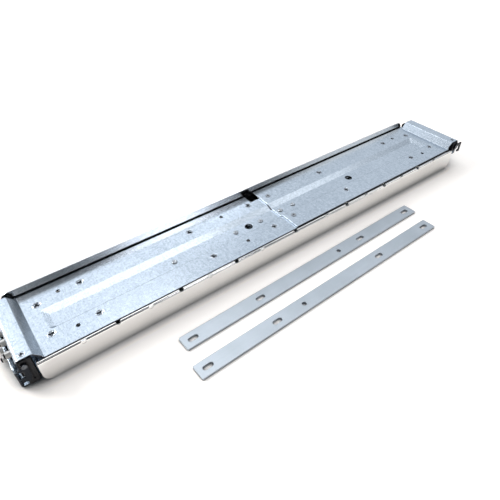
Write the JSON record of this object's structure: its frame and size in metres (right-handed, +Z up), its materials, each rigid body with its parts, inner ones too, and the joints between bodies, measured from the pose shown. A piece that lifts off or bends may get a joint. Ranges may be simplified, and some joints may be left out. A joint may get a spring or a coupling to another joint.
{
  "type": "server rack rail pair",
  "caption": "Pair of telescoping server rack rails nested face to face, with polished shelves, sprung latches and two loose slotted bars.",
  "frame": {"origin": "bottom centre of the whole pair's box, on the table", "axes": "+X along the rails towards the upper rail's rear end, +Y away from the loose bars, +Z up"},
  "size_m": [0.643, 0.1782, 0.0382],
  "materials": {
    "galvanised_steel": "pale blue-grey galvanised sheet, fine spangle",
    "polished_steel": "polished stainless sheet",
    "zinc_plated_screw": "bright zinc plate",
    "bright_rivet": "bright nickel",
    "black_nylon": "black moulded nylon",
    "black_oxide_steel": "black oxide",
    "bright_collar": "bright zinc plate",
    "dark_spring_steel": "dark tempered spring steel",
    "satin_zinc_bar": "satin zinc plate"
  },
  "bodies": {
    "lower_front": {"lower_front_plate": "galvanised_steel", "lower_shelf": "polished_steel", "lower_front_screws": "zinc_plated_screw", "lower_front_nuts": "zinc_plated_screw", "lower_backing_strip": "galvanised_steel", "lower_floor_rivets": "bright_rivet", "lower_front_studs": "black_oxide_steel", "lower_front_stud_collars": "bright_collar", "lower_front_latch_block": "black_nylon", "lower_front_block_screw": "zinc_plated_screw", "lower_front_latch_pivot": "bright_rivet", "lower_front_latch_spring": "dark_spring_steel"},
    "lower_rear": {"lower_rear_plate": "galvanised_steel", "lower_rear_screws": "zinc_plated_screw", "lower_rear_nuts": "zinc_plated_screw", "lower_keeper": "galvanised_steel", "lower_keeper_rivets": "bright_rivet", "lower_keeper_spacers": "bright_rivet", "lower_guides": "black_nylon", "lower_guide_eyelets": "bright_rivet", "lower_rear_studs": "black_oxide_steel", "lower_rear_stud_collars": "bright_collar", "lower_rear_latch_block": "black_nylon", "lower_rear_block_screw": "zinc_plated_screw", "lower_rear_latch_pivot": "bright_rivet", "lower_rear_latch_spring": "dark_spring_steel"},
    "lower_front_lever": {"lower_front_latch_lever": "dark_spring_steel"},
    "lower_rear_lever": {"lower_rear_latch_lever": "black_oxide_steel"},
    "upper_front": {"upper_front_plate": "galvanised_steel", "upper_shelf": "polished_steel", "upper_front_screws": "zinc_plated_screw", "upper_front_nuts": "zinc_plated_screw", "upper_backing_strip": "galvanised_steel", "upper_floor_rivets": "bright_rivet", "upper_front_studs": "black_oxide_steel", "upper_front_stud_collars": "bright_collar", "upper_front_latch_block": "black_nylon", "upper_front_block_screw": "zinc_plated_screw", "upper_front_latch_pivot": "bright_rivet", "upper_front_latch_spring": "dark_spring_steel"},
    "upper_rear": {"upper_rear_plate": "galvanised_steel", "upper_rear_screws": "zinc_plated_screw", "upper_rear_nuts": "zinc_plated_screw", "upper_keeper": "galvanised_steel", "upper_keeper_rivets": "bright_rivet", "upper_keeper_spacers": "bright_rivet", "upper_guides": "black_nylon", "upper_guide_eyelets": "bright_rivet", "upper_rear_studs": "black_oxide_steel", "upper_rear_stud_collars": "bright_collar", "upper_rear_latch_block": "black_nylon", "upper_rear_block_screw": "zinc_plated_screw", "upper_rear_latch_pivot": "bright_rivet", "upper_rear_latch_spring": "dark_spring_steel"},
    "upper_front_lever": {"upper_front_latch_lever": "dark_spring_steel"},
    "upper_rear_lever": {"upper_rear_latch_lever": "black_oxide_steel"},
    "near_bar": {"near_bar": "satin_zinc_bar"},
    "far_bar": {"far_bar": "satin_zinc_bar"}
  },
  "joints": [
    {"name": "lower_rail_slide", "type": "slide", "parent": "lower_front", "child": "lower_rear", "axis": [-1, 0, 0], "range_m": [0, 0.22]},
    {"name": "upper_rail_lift", "type": "slide", "parent": "lower_front", "child": "upper_front", "axis": [0, 0, 1], "range_m": [0, 0.06]},
    {"name": "upper_rail_slide", "type": "slide", "parent": "upper_front", "child": "upper_rear", "axis": [1, 0, 0], "range_m": [0, 0.22]},
    {"name": "lower_front_latch", "type": "hinge", "parent": "lower_front", "child": "lower_front_lever", "pos_m": [0.3049, 0.08744, 0.0062], "axis": [0, -1, 0], "range_deg": [0, 18], "stiffness_Nm_per_rad": 0.02},
    {"name": "lower_rear_latch", "type": "hinge", "parent": "lower_rear", "child": "lower_rear_lever", "pos_m": [-0.3078, 0.08744, 0.0072], "axis": [0, -1, 0], "range_deg": [0, 18], "stiffness_Nm_per_rad": 0.02},
    {"name": "upper_front_latch", "type": "hinge", "parent": "upper_front", "child": "upper_front_lever", "pos_m": [-0.3049, -0.00331, 0.032], "axis": [0, -1, 0], "range_deg": [0, 18], "stiffness_Nm_per_rad": 0.02},
    {"name": "upper_rear_latch", "type": "hinge", "parent": "upper_rear", "child": "upper_rear_lever", "pos_m": [0.3078, -0.00331, 0.031], "axis": [0, -1, 0], "range_deg": [0, 18], "stiffness_Nm_per_rad": 0.02},
    {"name": "near_bar_lift", "type": "slide", "parent": "lower_front", "child": "near_bar", "axis": [0, 0, 1], "range_m": [0, 0.05]},
    {"name": "far_bar_lift", "type": "slide", "parent": "lower_front", "child": "far_bar", "axis": [0, 0, 1], "range_m": [0, 0.05]}
  ]
}
